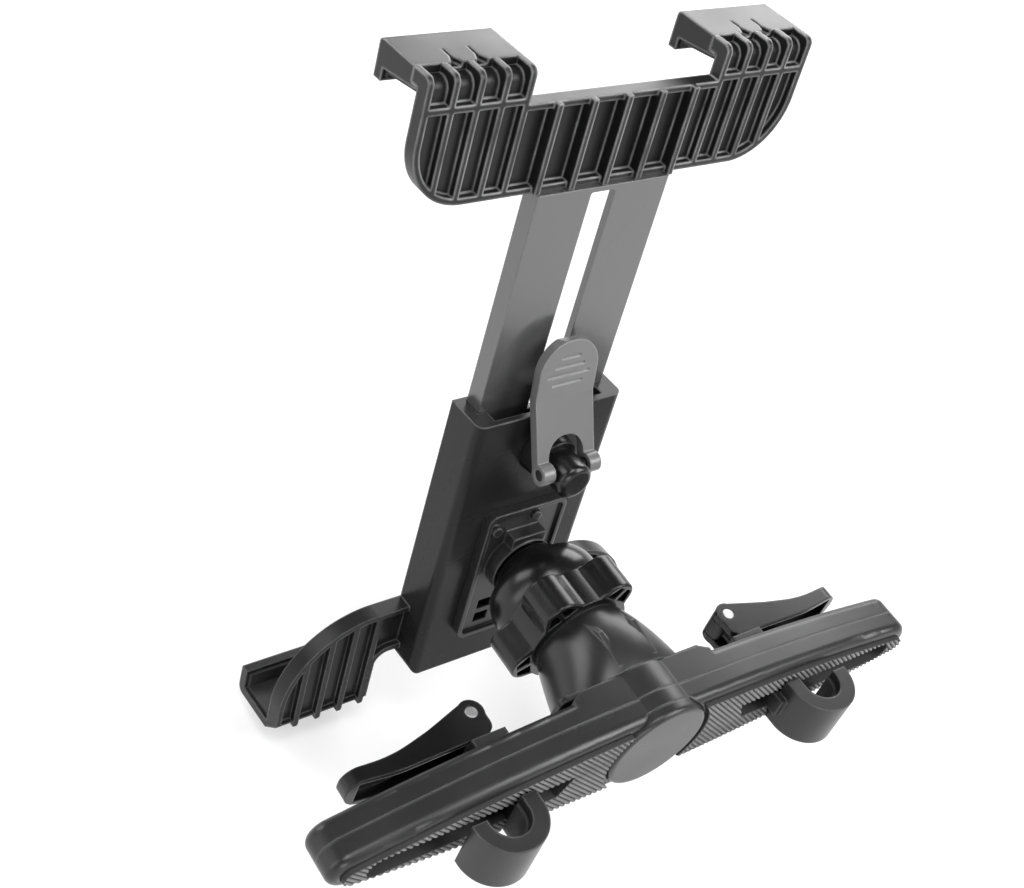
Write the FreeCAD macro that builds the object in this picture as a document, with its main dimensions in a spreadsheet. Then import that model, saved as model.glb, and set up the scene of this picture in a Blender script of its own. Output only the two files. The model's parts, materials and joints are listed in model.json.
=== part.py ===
"""Tablet holder that clamps to the two posts of a car headrest.

A crossbar lies across the posts and a hook on each side pulls one post against
a ribbed rubber pad; a cam lever on the front draws the hook tight. A short arm
ends in a cup, and a lobed nut with a domed mouth closes the cup on a ball. The
ball carries a clamp: a housing with two lower claws, and a slide that runs up
out of it with a ribbed head and two upper hooks. A small lever on a round stud
locks the slide.

Frame: the origin is midway between the posts, on the plane that they rest on.
+X runs along the crossbar, +Y forward from the posts to the tablet, +Z up.
The pieces on the ball are drawn upright about the ball's centre (the ball
frame) and then placed, leaning forward, by one placement. Millimetres.
"""
import FreeCAD
import Part
import math
import os

from FreeCAD import Rotation, Vector
from Sketcher import Constraint

doc = FreeCAD.newDocument("TabletHolder")
sheet = doc.addObject("Spreadsheet::Sheet", "Sizes")

DRIVING = {
    # Crossbar: two shells, an arched outline that tapers to round ends
    "bar_half": 96.0,
    "bar_rise": 14.0,
    "bar_end": 5.6,
    "bar_mid": -0.5,
    "bar_rear": 1.5,
    "bar_split": 8.0,
    "bar_front": 14.3,
    "bar_round": 2.4,
    "raised_half": 19.7,
    "raised_ramp": 3.2,
    "raised_front": 16.1,
    "swell_radius": 15.0,
    # Rubber pads in the rear shell
    "pad_margin": 3.0,
    "pad_depth": 3.5,
    "pad_relief": 16.2,
    "seat_gap": 0.15,
    # Slots for the hooks
    "slot_inner": 28.0,
    "slot_margin": 9.0,
    "slot_width": 7.0,
    "slot_round": 3.15,
    # Arm
    "cap_radius": 15.0,
    "cap_round": 1.4,
    "stem_radius": 11.0,
    "base_half": 20.5,
    "base_rise": 14.8,
    "foot_half": 23.8,
    "foot_rise": 10.5,
    "foot_front": 17.8,
    "foot_round": 2.0,
    "waist_radius": 16.0,
    "waist_front": 28.0,
    "neck_radius": 13.2,
    "neck_front": 36.4,
    "ridge_width": 1.6,
    "ridge_spread": 5.5,
    "ridge_height": 0.9,
    "thread_radius": 12.9,
    "cup_front": 49.0,
    # Ball joint
    "ball_front": 54.0,
    "ball_radius": 12.5,
    "ball_gap": 0.3,
    "collar_radius": 7.0,
    "spigot_radius": 5.0,
    "running": 0.05,
    "face_gap": 0.3,
    "lean": 6.7,
    # Clamp nut
    "nut_rear": 37.0,
    "nut_length": 11.0,
    "lobe_radius": 20.3,
    "lobe_count": 5,
    "lobe_round": 5.6,
    "valley_reach": 23.7,
    "lobe_turn": 57.0,
    "nut_wall": 1.6,
    "nut_edge": 0.6,
    "dome_rim": 14.0,
    "dome_front": 58.0,
    "dome_root": 15.2,
    "dome_bend": 10.5,
    "nut_step": 50.0,
    "nut_face": 1.8,
    "nut_hub": 1.6,
    "lobe_rib": 1.2,
    "hollow_root": 4.8,
    "hollow_tip": 2.6,
    # Post hooks and cam levers, one set on each side
    "post_inset": 43.7,
    "post_y": -3.5,
    "post_radius": 5.7,
    "hook_radius": 10.0,
    "hook_height": 15.0,
    "hook_tip": -2.5,
    "shank_length": 12.0,
    "shank_width": 5.6,
    "pin_inset": 8.8,
    "pin_y": 25.5,
    "pin_radius": 1.6,
    "stud_radius": 1.9,
    "eye_radius": 3.6,
    "eye_height": 5.4,
    "lever_height": 10.0,
    "cheek_gap": 6.0,
    "cam_radius": 3.2,
    "cam_offset": 3.8,
    "head_radius": 3.6,
    "lever_reach": 38.2,
    "lever_waist": 25.0,
    "lever_waist_drop": 3.2,
    "lever_waist_thick": 4.4,
    "lever_shoulder": 13.0,
    "lever_shoulder_drop": 0.4,
    "lever_tip_drop": 2.4,
    "lever_tip_thick": 3.8,
    "lever_end_round": 4.4,
    "lever_bend": 40.0,
    "lever_wall": 1.4,
    "block_half": 5.0,
    "block_rise": 6.0,
    "tongue_depth": 2.0,
    # Adapter plate between ball and housing
    "adapter_rear": 12.7,
    "adapter_half": 13.0,
    "adapter_top": 18.8,
    "adapter_bottom": 26.7,
    "adapter_round": 3.0,
    "adapter_rim": 1.3,
    "adapter_step": 0.9,
    "boss_radius": 9.4,
    "boss_reach": 8.0,
    "key_half": 5.4,
    "key_top": 11.3,
    "key_rear": 9.7,
    "vent_outer": 8.0,
    "vent_inner": 3.4,
    "vent_low": 22.3,
    "vent_tall": 3.3,
    "vent_strap": 1.8,
    "bump_radius": 1.5,
    "bump_height": 0.8,
    "bump_side_x": 10.0,
    "bump_side_z": 13.5,
    "bump_top_x": 2.5,
    "bump_top_z": 15.6,
    # Clamp housing with its claws
    "house_half": 23.4,
    "house_rear": 15.5,
    "house_front": 28.0,
    "house_top": 49.8,
    "house_bottom": 39.7,
    "house_wall": 1.8,
    "house_floor": 3.0,
    "house_round": 2.5,
    "window_half": 15.5,
    "well_half": 17.5,
    "claw_half": 60.3,
    "claw_top": 19.4,
    "claw_bottom": 57.0,
    "claw_rear_bottom": 52.5,
    "claw_root": 35.5,
    "claw_inner": 31.0,
    "claw_bend": 26.6,
    "claw_notch_bend": 4.0,
    "claw_rim": 1.6,
    "claw_tooth_round": 0.7,
    "claw_tooth_end": 54.8,
    "claw_web": 3.1,
    "claw_rib_depth": 1.8,
    "claw_rib_width": 1.8,
    "claw_rib_pitch": 7.05,
    "claw_rib_first": 32.7,
    "claw_rib_count": 4,
    # Slide and head
    "slide_half": 20.0,
    "slide_rear": 21.2,
    "slide_front": 26.5,
    "slide_web": 2.0,
    "slide_flange": 1.8,
    "slide_bottom": 22.0,
    "slide_gap": 0.15,
    "track_half": 3.75,
    "track_bottom": 27.0,
    "track_margin": 1.4,
    "track_round": 0.7,
    "head_half": 56.6,
    "head_bottom": 113.2,
    "head_top": 136.6,
    "head_corner": 16.0,
    "head_web": 1.6,
    "head_rim": 1.6,
    "head_rear": 22.9,
    "head_rib_rear": 21.4,
    "rib_width": 1.5,
    "rib_pitch": 10.2,
    "rib_count": 5,
    "wing_bays": 4,
    # Upper hooks; the claws' floor and lip repeat their throat
    "grip_inner": 28.3,
    "grip_top": 145.4,
    "grip_wall": 2.6,
    "throat": 12.9,
    "grip_round": 1.2,
    "claw_lip_round": 2.4,
    "cap_seam": 28.9,
    "cap_wall": 4.4,
    "cap_slope": 1.7,
    "bracket_step": 2.0,
    "bracket_round": 2.4,
    "fin_round": 2.0,
    "notch_mouth": 1.5,
    "notch_flare": 2.2,
    "notch_reach": 5.8,
    "notch_slit": 0.9,
    "notch_depth": 1.4,
    "lip_drop": 9.2,
    "liner": 1.0,
    # Slide lock
    "lock_height": 37.5,
    "lock_radius": 5.2,
    "lock_rear": 0.0,
    "lock_dome": 1.8,
    "lock_shank": 3.4,
    "lock_head": 7.2,
    "lock_head_depth": 2.0,
    "lever_pivot": 5.2,
    "lever_pivot_rise": 1.5,
    "lever_width": 18.5,
    "lever_thick": 2.5,
    "lever_arch": 5.7,
    "lever_arch_round": 5.1,
    "lever_round": 9.0,
    "lever_slant": 0.7,
    "lever_arch_top": 47.0,
    "lever_bend_y": 13.3,
    "lever_bend_z": 56.2,
    "lever_top_y": 15.7,
    "lever_top_z": 72.2,
    "lock_cam": 2.8,
    "lock_pin_radius": 1.5,
    "collar_flare": 7.2,
    "collar_wall": 1.2,
    "collar_lift": 1.2,
    "groove_pitch": 2.45,
    "groove_first": 4.0,
    "groove_radius": 0.4,
    "groove_short": 3.0,
    "groove_mid": 4.7,
    "groove_long": 6.7,
}
for row, (alias, value) in enumerate(DRIVING.items(), start=1):
    sheet.set(f"A{row}", alias)
    sheet.set(f"B{row}", str(value))
    sheet.setAlias(f"B{row}", alias)
doc.recompute()


class Size:
    """A dimension: its value now, and the sheet expression that keeps it current."""

    def __init__(self, value, text):
        self.value = float(value)
        self.text = text

    def __add__(self, other):
        other = size(other)
        return Size(self.value + other.value, f"({self.text} + {other.text})")

    def __sub__(self, other):
        other = size(other)
        return Size(self.value - other.value, f"({self.text} - {other.text})")

    def __mul__(self, other):
        other = size(other)
        return Size(self.value * other.value, f"({self.text} * {other.text})")

    def __truediv__(self, other):
        other = size(other)
        return Size(self.value / other.value, f"({self.text} / {other.text})")

    def __neg__(self):
        return Size(-self.value, f"(0 - {self.text})")

    def __radd__(self, other):
        return size(other) + self

    def __rsub__(self, other):
        return size(other) - self

    def __rmul__(self, other):
        return size(other) * self

    def __rtruediv__(self, other):
        return size(other) / self


def size(number):
    """A plain number as a Size, so that both kinds mix in one sum."""
    return number if isinstance(number, Size) else Size(number, repr(float(number)))


def root(number):
    return Size(math.sqrt(number.value), f"sqrt({number.text})")


def cosine(angle):
    """The cosine of an angle in degrees."""
    return Size(math.cos(math.radians(angle.value)), f"cos({angle.text} * 1 deg)")


class Dimensions:
    """The driving dimensions by name, and those worked out from them."""


d = Dimensions()
for alias, value in DRIVING.items():
    setattr(d, alias, Size(sheet.get(alias), f"Sizes.{alias}"))

AXES = {"X": Vector(1, 0, 0), "Y": Vector(0, 1, 0), "Z": Vector(0, 0, 1)}
PLANES = {
    "XY": ("Z", Rotation()),
    "XZ": ("Y", Rotation(Vector(1, 0, 0), 90)),
    "YZ": ("X", Rotation(0.5, 0.5, 0.5, 0.5)),
}
TURNS = {
    "X": Rotation(Vector(0, 1, 0), 90),
    "Y": Rotation(Vector(1, 0, 0), -90),
    "Z": Rotation(),
}


def bind(thing, name, number):
    """Bind one property to the sheet, giving it today's value at once."""
    thing.setExpression(name, size(number).text)


def place(thing, x=0, y=0, z=0):
    """Bind a piece's position, axis by axis."""
    for axis, number in (("x", x), ("y", y), ("z", z)):
        bind(thing, f"Placement.Base.{axis}", number)


# Sketches


def fix_point(sketch, geometry, point, x, y):
    """Tie a sketch point to its two coordinates."""
    for kind, number in (("DistanceX", size(x)), ("DistanceY", size(y))):
        index = sketch.addConstraint(
            Constraint(kind, -1, 1, geometry, point, number.value))
        sketch.setExpression(f"Constraints[{index}]", number.text)


def fix_radius(sketch, geometry, radius):
    """Tie an arc's or a circle's radius to its size."""
    index = sketch.addConstraint(Constraint("Radius", geometry, radius.value))
    sketch.setExpression(f"Constraints[{index}]", radius.text)


def flat(x, y):
    return Vector(size(x).value, size(y).value, 0)


def outline(sketch, *corners):
    """Close an outline through corners (x, y), rounded ones (x, y, radius).

    A fourth value bends the side that starts at the corner into an arc of
    that radius, to the left where it is positive.
    """
    count = len(corners)
    spots = [flat(corner[0], corner[1]) for corner in corners]
    rounds = {}
    for i, corner in enumerate(corners):
        if len(corner) == 3:
            before = (spots[i - 1] - spots[i]).normalize()
            after = (spots[(i + 1) % count] - spots[i]).normalize()
            half = before.getAngle(after) / 2
            radius = corner[2].value
            reach = radius / math.tan(half)
            middle = spots[i] + (before + after).normalize() * (radius / math.sin(half))
            rounds[i] = (spots[i] + before * reach, spots[i] + after * reach, middle)
    sides = []
    for i, corner in enumerate(corners):
        start = rounds[i][1] if i in rounds else spots[i]
        end_corner = (i + 1) % count
        end = rounds[end_corner][0] if end_corner in rounds else spots[end_corner]
        if len(corner) == 4:
            bend = corner[3]
            chord = end - start
            side = Vector(-chord.y, chord.x, 0).normalize()
            sign = math.copysign(1, bend.value)
            depth = math.sqrt(bend.value ** 2 - (chord.Length / 2) ** 2)
            middle = (start + end) / 2 + side * (sign * depth)
            circle = Part.Circle(middle, Vector(0, 0, 1), abs(bend.value))
            first, last = (start, end) if sign > 0 else (end, start)
            arc = Part.ArcOfCircle(circle, circle.parameter(first), circle.parameter(last))
            index = sketch.addGeometry(arc, False)
            sides.append((index, 1 if sign > 0 else 2, 2 if sign > 0 else 1))
            fix_radius(sketch, index, bend if sign > 0 else -bend)
        else:
            index = sketch.addGeometry(Part.LineSegment(start, end), False)
            sides.append((index, 1, 2))
    for i, corner in enumerate(corners):
        before, _, before_end = sides[i - 1]
        after, after_start, _ = sides[i]
        if i in rounds:
            start, end, middle = rounds[i]
            circle = Part.Circle(middle, Vector(0, 0, 1), corner[2].value)
            left = (start - middle).cross(end - middle).z > 0
            first, last = (start, end) if left else (end, start)
            arc = Part.ArcOfCircle(circle, circle.parameter(first), circle.parameter(last))
            index = sketch.addGeometry(arc, False)
            arc_start, arc_end = (1, 2) if left else (2, 1)
            point = sketch.addGeometry(Part.Point(spots[i]), True)
            sketch.addConstraint([
                Constraint("Tangent", before, before_end, index, arc_start),
                Constraint("Tangent", index, arc_end, after, after_start),
                Constraint("PointOnObject", point, 1, before),
                Constraint("PointOnObject", point, 1, after),
            ])
            fix_radius(sketch, index, corner[2])
            fix_point(sketch, point, 1, corner[0], corner[1])
        else:
            sketch.addConstraint(
                Constraint("Coincident", before, before_end, after, after_start))
            fix_point(sketch, after, after_start, corner[0], corner[1])


def round_hole(sketch, x, y, radius):
    """A full circle in a sketch."""
    circle = Part.Circle(flat(x, y), Vector(0, 0, 1), size(radius).value)
    index = sketch.addGeometry(circle, False)
    fix_radius(sketch, index, size(radius))
    fix_point(sketch, index, 3, x, y)


def block(x0, x1, y0, y1):
    """The corners of a rectangle."""
    return [(x0, y0), (x1, y0), (x1, y1), (x0, y1)]


# Features


def sketch_on(name, plane, start=0):
    """A free sketch on a main plane, moved to start along that plane's axis."""
    sketch = doc.addObject("Sketcher::SketchObject", name)
    axis, turn = PLANES[plane]
    sketch.Placement = FreeCAD.Placement(Vector(), turn)
    bind(sketch, f"Placement.Base.{axis.lower()}", start)
    return sketch


def prism(name, plane, start, end, *outlines, circles=()):
    """The solid over outlines and circles, from start to end on the plane's axis."""
    sketch = sketch_on(name + "_sketch", plane, start)
    for corners in outlines:
        outline(sketch, *corners)
    for x, y, radius in circles:
        round_hole(sketch, x, y, radius)
    solid = doc.addObject("Part::Extrusion", name)
    solid.Base = sketch
    solid.DirMode = "Custom"
    solid.Dir = AXES[PLANES[plane][0]]
    solid.Solid = True
    bind(solid, "LengthFwd", size(end) - start)
    return solid


def turned(name, *outlines, height=0):
    """The solid turned about the Y axis at a height, over outlines of (y, radius)."""
    sketch = sketch_on(name + "_sketch", "YZ")
    bind(sketch, "Placement.Base.z", height)
    for corners in outlines:
        outline(sketch, *corners)
    solid = doc.addObject("Part::Revolution", name)
    solid.Source = sketch
    solid.Axis = AXES["Y"]
    bind(solid, "Base.z", height)
    solid.Angle = 360
    solid.Solid = True
    return solid


def rod(name, axis, radius, start, end, x=0, y=0, z=0):
    """A cylinder along a main axis, from start to end, at the given place."""
    solid = doc.addObject("Part::Cylinder", name)
    solid.Placement = FreeCAD.Placement(Vector(), TURNS[axis])
    bind(solid, "Radius", radius)
    bind(solid, "Height", size(end) - start)
    spot = {"x": size(x), "y": size(y), "z": size(z)}
    spot[axis.lower()] = size(start)
    place(solid, spot["x"], spot["y"], spot["z"])
    return solid


def cut(name, base, *tools):
    """The base less every tool."""
    result = doc.addObject("Part::Cut", name)
    result.Base = base
    result.Tool = tools[0] if len(tools) == 1 else fuse(name + "_tools", *tools)
    return result


def fuse(name, *parts):
    result = doc.addObject("Part::MultiFuse", name)
    result.Shapes = list(parts)
    result.Refine = True
    return result


def common(name, *parts):
    result = doc.addObject("Part::MultiCommon", name)
    result.Shapes = list(parts)
    return result


def edges_where(shape, test):
    """The numbers of the edges whose every vertex, and middle, pass the test."""
    found = []
    for number, edge in enumerate(shape.Edges, start=1):
        middle = edge.valueAt((edge.FirstParameter + edge.LastParameter) / 2)
        points = [vertex.Point for vertex in edge.Vertexes] + [middle]
        if all(test(point) for point in points):
            found.append(number)
    return found


def rounded(name, base, radius, test):
    """Round the edges of base that pass the test."""
    doc.recompute()
    result = doc.addObject("Part::Fillet", name)
    result.Base = base
    numbers = edges_where(base.Shape, test)
    result.Edges = [(number, radius.value, radius.value) for number in numbers]
    return result


def mirrored(name, source):
    """The mirror image of a piece on the other side of the arm."""
    result = doc.addObject("Part::Mirroring", name)
    result.Source = source
    result.Normal = AXES["X"]
    return result


PIECES = []


def piece(label, solid):
    """Name a finished piece; its label is also its file's name."""
    solid.Label = label
    PIECES.append(solid)
    return solid


def on_ball(label, solid):
    """Finish a piece drawn in the ball frame: lean it about the ball's centre."""
    solid.Placement = FreeCAD.Placement(Vector(), Rotation(Vector(1, 0, 0), -1))
    solid.setExpression("Placement.Rotation.Angle", f"{d.lean.text} * 1 deg")
    place(solid, y=d.ball_front)
    solid.Placement = FreeCAD.Placement(
        Vector(0, d.ball_front.value, 0), Rotation(Vector(-1, 0, 0), d.lean.value))
    return piece(label, solid)


# Crossbar

end_x = d.bar_half - d.bar_end
arch_depth = d.bar_rise - d.bar_end
arch_radius = (end_x * end_x + d.bar_rise * d.bar_rise - d.bar_end * d.bar_end) / (
    arch_depth * 2)


def bar_outline(margin=0):
    """The crossbar seen from the front, drawn in by a margin all round.

    The long arcs above and below run into the end arcs without a corner.
    """
    end = d.bar_end - margin
    bend = arch_radius - margin
    meet_x = end_x + end * end_x / (arch_radius - d.bar_end)
    meet_z = end * (arch_radius - d.bar_rise) / (arch_radius - d.bar_end)
    low = d.bar_mid - meet_z
    high = d.bar_mid + meet_z
    return [
        (-meet_x, low, None, bend),
        (meet_x, low, None, end),
        (meet_x, high, None, bend),
        (-meet_x, high, None, end),
    ]


slot_outer = d.bar_half - d.slot_margin


def slot_outline():
    """A hook's slot on the right: slanted at the arm, round at the far end."""
    low = d.bar_mid - d.slot_width / 2
    high = d.bar_mid + d.slot_width / 2
    return [
        (d.slot_inner + d.slot_width / 2, low),
        (slot_outer, low, d.slot_round),
        (slot_outer, high, d.slot_round),
        (d.slot_inner, high),
    ]


def pad_field(name, clearance, start, end):
    """The right pad's space in the rear shell, larger by a clearance."""
    field = prism(name + "_field", "XZ", start, end, bar_outline(d.pad_margin - clearance))
    half = prism(name + "_half", "XZ", start, end,
                 block(0, d.bar_half, -d.bar_half, d.bar_half))
    relief = rod(name + "_relief", "Y", d.pad_relief - clearance, start, end)
    return cut(name, common(name + "_side", field, half), relief)


def both(name, right):
    """A piece on the right together with its mirror image."""
    return [right, mirrored(name + "_mirror", right)]


slot = prism("hook_slot", "XZ", -d.bar_end, d.bar_front + d.bar_end, slot_outline())
slots = both("hook_slot", slot)

rear_blank = prism("rear_blank", "XZ", d.bar_rear, d.bar_split, bar_outline())
rear_soft = rounded("rear_soft", rear_blank, d.bar_round,
                    lambda p: p.y < d.bar_rear.value + 0.01)
pad_recess = pad_field("pad_recess", d.seat_gap, 0, d.pad_depth)
cap_recess = rod("cap_recess", "Y", d.cap_radius + d.seat_gap, 0, d.pad_depth)
stem_bore = rod("stem_bore", "Y", d.stem_radius + d.running, 0, d.raised_front * 2)
rear_swell = rod("rear_swell", "Y", d.swell_radius, d.pad_depth, d.bar_split)
piece("crossbar_rear_shell", cut("rear_shell", fuse("rear_solid", rear_soft, rear_swell),
                                 cap_recess, stem_bore, *both("pad_recess", pad_recess),
                                 *slots))

front_blank = prism("front_blank", "XZ", d.bar_split, d.bar_front, bar_outline())
front_soft = rounded("front_soft", front_blank, d.bar_round,
                     lambda p: p.y > d.bar_front.value - 0.01)
ramp_end = d.raised_half + d.raised_ramp
raised_face = prism("raised_face", "XZ", d.bar_split, d.raised_front, bar_outline())
raised_plan = prism("raised_plan", "XY", -d.bar_half, d.bar_half, [
    (-ramp_end, d.bar_split),
    (ramp_end, d.bar_split),
    (ramp_end, d.bar_front),
    (d.raised_half, d.raised_front),
    (-d.raised_half, d.raised_front),
    (-ramp_end, d.bar_front),
])
raised = common("raised_middle", raised_face, raised_plan)
front_swell = rod("front_swell", "Y", d.swell_radius, d.bar_split, d.raised_front)
front_solid = fuse("front_solid", front_soft, raised, front_swell)
piece("crossbar_front_shell", cut("front_shell", front_solid, stem_bore, *slots))

pad_right = cut("pad_solid", pad_field("pad", 0, 0, d.pad_depth), slot)
piece("pad_right", pad_right)
piece("pad_left", mirrored("pad_other", pad_right))

# Arm

piece("arm_cap", turned("cap", [
    (0, 0), (d.pad_depth, 0), (d.pad_depth, d.cap_radius), (0, d.cap_radius, d.cap_round)]))


def ring(name, radius, y):
    """A circle about the arm's axis, for a loft."""
    edge = doc.addObject("Part::Circle", name)
    edge.Placement = FreeCAD.Placement(Vector(), PLANES["XZ"][1])
    bind(edge, "Radius", radius)
    place(edge, y=y)
    return edge


base_edge = doc.addObject("Part::Ellipse", "arm_base_edge")
base_edge.Placement = FreeCAD.Placement(Vector(), PLANES["XZ"][1])
bind(base_edge, "MajorRadius", d.base_half)
bind(base_edge, "MinorRadius", d.base_rise)
place(base_edge, y=d.raised_front)
flare = doc.addObject("Part::Loft", "arm_flare")
flare.Sections = [base_edge, ring("arm_waist", d.waist_radius, d.waist_front),
                  ring("arm_neck", d.neck_radius, d.neck_front)]
flare.Solid = True
ridge_foot = d.neck_radius - d.ridge_spread
ridge = prism("arm_ridge", "YZ", d.ridge_spread - d.ridge_width / 2,
              d.ridge_spread + d.ridge_width / 2, [
                  (d.raised_front + d.ridge_width, ridge_foot),
                  (d.neck_front - d.ridge_width, ridge_foot),
                  (d.neck_front - d.ridge_width, d.neck_radius - d.ridge_height),
                  (d.waist_front, d.waist_radius),
                  (d.raised_front + d.ridge_width, d.base_rise),
              ])
foot_low = d.bar_mid - d.foot_rise
foot_high = d.bar_mid + d.foot_rise
foot = prism("arm_foot", "XZ", d.raised_front, d.foot_front, [
    (-d.foot_half, foot_low, d.foot_round),
    (d.foot_half, foot_low, d.foot_round),
    (d.foot_half, foot_high, d.foot_round),
    (-d.foot_half, foot_high, d.foot_round),
])
stem = rod("arm_stem", "Y", d.stem_radius, d.pad_depth, d.waist_front)
thread = rod("arm_thread", "Y", d.thread_radius, d.waist_front, d.cup_front)
hollow = doc.addObject("Part::Sphere", "cup_hollow")
bind(hollow, "Radius", d.ball_radius + d.ball_gap)
place(hollow, y=d.ball_front)
arm_solid = fuse("arm_solid", stem, foot, flare, thread, *both("arm_ridge", ridge))
piece("arm", cut("arm_cup", arm_solid, hollow))

ball = doc.addObject("Part::Sphere", "ball_solid")
bind(ball, "Radius", d.ball_radius)
place(ball, y=d.ball_front)
piece("ball", ball)

# Clamp nut

cup_radius = d.ball_radius + d.ball_gap
nut_front = d.nut_rear + d.nut_length
nut_bore = d.thread_radius + d.running


def cup_at(y):
    """The cup's radius about the arm's axis at a place along it."""
    along = y - d.ball_front
    return root(cup_radius * cup_radius - along * along)


def turn_about_arm(solid, angle):
    """Turn a piece about the arm's axis by an angle in degrees."""
    solid.Placement = FreeCAD.Placement(
        Vector(), Rotation(Vector(0, 1, 0), angle.value if angle.value else 360))
    solid.setExpression("Placement.Rotation.Angle", f"{angle.text} * 1 deg")
    return solid


nut_dome = turned("nut_dome", [
    (d.nut_rear, nut_bore),
    (d.nut_step, nut_bore),
    (d.nut_step, cup_at(d.nut_step), None, -cup_radius),
    (d.dome_front, cup_at(d.dome_front)),
    (d.dome_front, d.dome_rim, None, d.dome_bend),
    (nut_front, d.dome_root),
    (d.nut_rear, d.dome_root),
])
# Every lobe's tip arc and the valley arcs beside it touch on the line between their
# centres; the core reaches as far as that point
lobe_reach = d.lobe_radius - d.lobe_round
half_turn = 180 / d.lobe_count
centres_apart = root(lobe_reach * lobe_reach + d.valley_reach * d.valley_reach
                     - lobe_reach * d.valley_reach * cosine(half_turn) * 2)
valley_radius = centres_apart - d.lobe_round
share = d.lobe_round / centres_apart
core_radius = root(lobe_reach * lobe_reach * (1 - share)
                   + d.valley_reach * d.valley_reach * share
                   - centres_apart * centres_apart * share * (1 - share))
lobes = []
valleys = []
hollows = []
hub = nut_bore + d.nut_hub
rib_side = d.lobe_rib / 2
hollow_top = d.lobe_radius - d.nut_wall
for number in range(int(d.lobe_count.value)):
    turn = 90 - d.lobe_turn + 360 * number / d.lobe_count
    lobe = prism(f"lobe_{number}", "XZ", d.nut_rear, nut_front,
                 circles=[(0, lobe_reach, d.lobe_round)])
    lobes.append(turn_about_arm(lobe, turn))
    valley = prism(f"valley_{number}", "XZ", d.nut_rear, nut_front,
                   circles=[(0, d.valley_reach, valley_radius)])
    valleys.append(turn_about_arm(valley, turn + half_turn))
    pocket = prism(f"lobe_hollow_{number}", "XZ", d.nut_rear, nut_front - d.nut_face, *[
        [(side * rib_side, hub), (side * d.hollow_root, hub),
         (side * d.hollow_tip, hollow_top), (side * rib_side, hollow_top)]
        for side in (1, -1)])
    hollows.append(turn_about_arm(pocket, turn))
nut_core = rod("nut_core", "Y", core_radius, d.nut_rear, nut_front)
nut_star = cut("nut_star", fuse("nut_petals", nut_core, *lobes), *valleys)
nut_soft = rounded("nut_soft", nut_star, d.nut_edge,
                   lambda p: abs(p.y - nut_front.value) < 0.01
                   or abs(p.y - d.nut_rear.value) < 0.01)
nut_hole = rod("nut_hole", "Y", nut_bore, d.nut_rear, nut_front)
piece("clamp_nut", cut("nut_solid", fuse("nut_blank", nut_soft, nut_dome), nut_hole, *hollows))

# Post hooks and cam levers

post_x = d.bar_half - d.post_inset
pin_x = post_x - d.pin_inset
low_face = d.bar_mid - d.hook_height / 2
high_face = d.bar_mid + d.hook_height / 2
hook_left_x = post_x - d.hook_radius
hook_right_x = post_x + d.hook_radius
bowl_left_x = post_x - d.post_radius
bowl_right_x = post_x + d.post_radius
bowl = prism("hook_bowl", "XY", low_face, high_face, [
    (hook_left_x, -d.face_gap),
    (hook_left_x, d.post_y, None, d.hook_radius),
    (post_x, d.post_y - d.hook_radius, None, d.hook_radius),
    (hook_right_x, d.post_y),
    (hook_right_x, d.hook_tip),
    (bowl_right_x, d.hook_tip),
    (bowl_right_x, d.post_y, None, -d.post_radius),
    (post_x, d.post_y - d.post_radius, None, -d.post_radius),
    (bowl_left_x, d.post_y),
    (bowl_left_x, -d.face_gap),
])
shank_half = d.shank_width / 2
shank = prism("hook_shank", "XY", d.bar_mid - shank_half, d.bar_mid + shank_half,
              block(pin_x * 2 - bowl_left_x, bowl_left_x, d.post_y, d.shank_length))
hook_bore = rod("hook_bore", "Y", d.stud_radius + d.running, d.hook_tip, d.pin_y,
                x=pin_x, z=d.bar_mid)
hook = cut("hook_solid", fuse("hook_blank", bowl, shank), hook_bore)

eye_half = d.eye_height / 2
stud_rod = rod("stud_rod", "Y", d.stud_radius, d.hook_tip, d.pin_y, x=pin_x, z=d.bar_mid)
eye = rod("stud_eye", "Z", d.eye_radius, d.bar_mid - eye_half, d.bar_mid + eye_half,
          x=pin_x, y=d.pin_y)
pin_bore = rod("pin_bore", "Z", d.pin_radius + d.running, -d.hook_height, d.hook_height,
               x=pin_x, y=d.pin_y)
stud = cut("stud_solid", fuse("stud_blank", stud_rod, eye), pin_bore)
lever_half = d.lever_height / 2
lever_low = d.bar_mid - lever_half
lever_high = d.bar_mid + lever_half
pin = rod("pin_solid", "Z", d.pin_radius, lever_low, lever_high, x=pin_x, y=d.pin_y)

cam_face = d.pin_y - d.cam_radius - d.cam_offset
tongue_half = d.slot_width / 2 - d.face_gap
block_bore = rod("block_bore", "Y", d.stud_radius + d.running, 0, d.pin_y,
                 x=pin_x, z=d.bar_mid)
slider = prism("slider_plate", "XZ", d.bar_front, cam_face - d.face_gap,
               block(pin_x - d.block_half, pin_x + d.block_half,
                     d.bar_mid - d.block_rise, d.bar_mid + d.block_rise))
tongue = prism("slider_tongue", "XZ", d.bar_front - d.tongue_depth, d.bar_front,
               block(pin_x - tongue_half, pin_x + tongue_half,
                     d.bar_mid - tongue_half, d.bar_mid + tongue_half))
slide_block = cut("slider_solid", fuse("slider_blank", slider, tongue), block_bore)


def lever_plan(start, inset=0, below=0):
    """The lever from above, from a start at its head, its upper side drawn in.

    The lower side may be moved down, which opens a hollow towards the crossbar.
    """
    top = d.pin_y - inset
    foot = d.pin_y - below
    tip = pin_x + d.lever_reach - inset * 2
    waist = pin_x + d.lever_waist
    return [
        (start, top + d.head_radius),
        (pin_x + d.lever_shoulder, top - d.lever_shoulder_drop, d.lever_bend),
        (waist, top - d.lever_waist_drop, d.lever_bend),
        (tip, top - d.lever_tip_drop),
        (tip, foot - d.lever_tip_drop - d.lever_tip_thick),
        (waist, foot - d.lever_waist_drop - d.lever_waist_thick, d.lever_bend),
        (start, foot - d.cam_offset - d.cam_radius),
    ]


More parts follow.
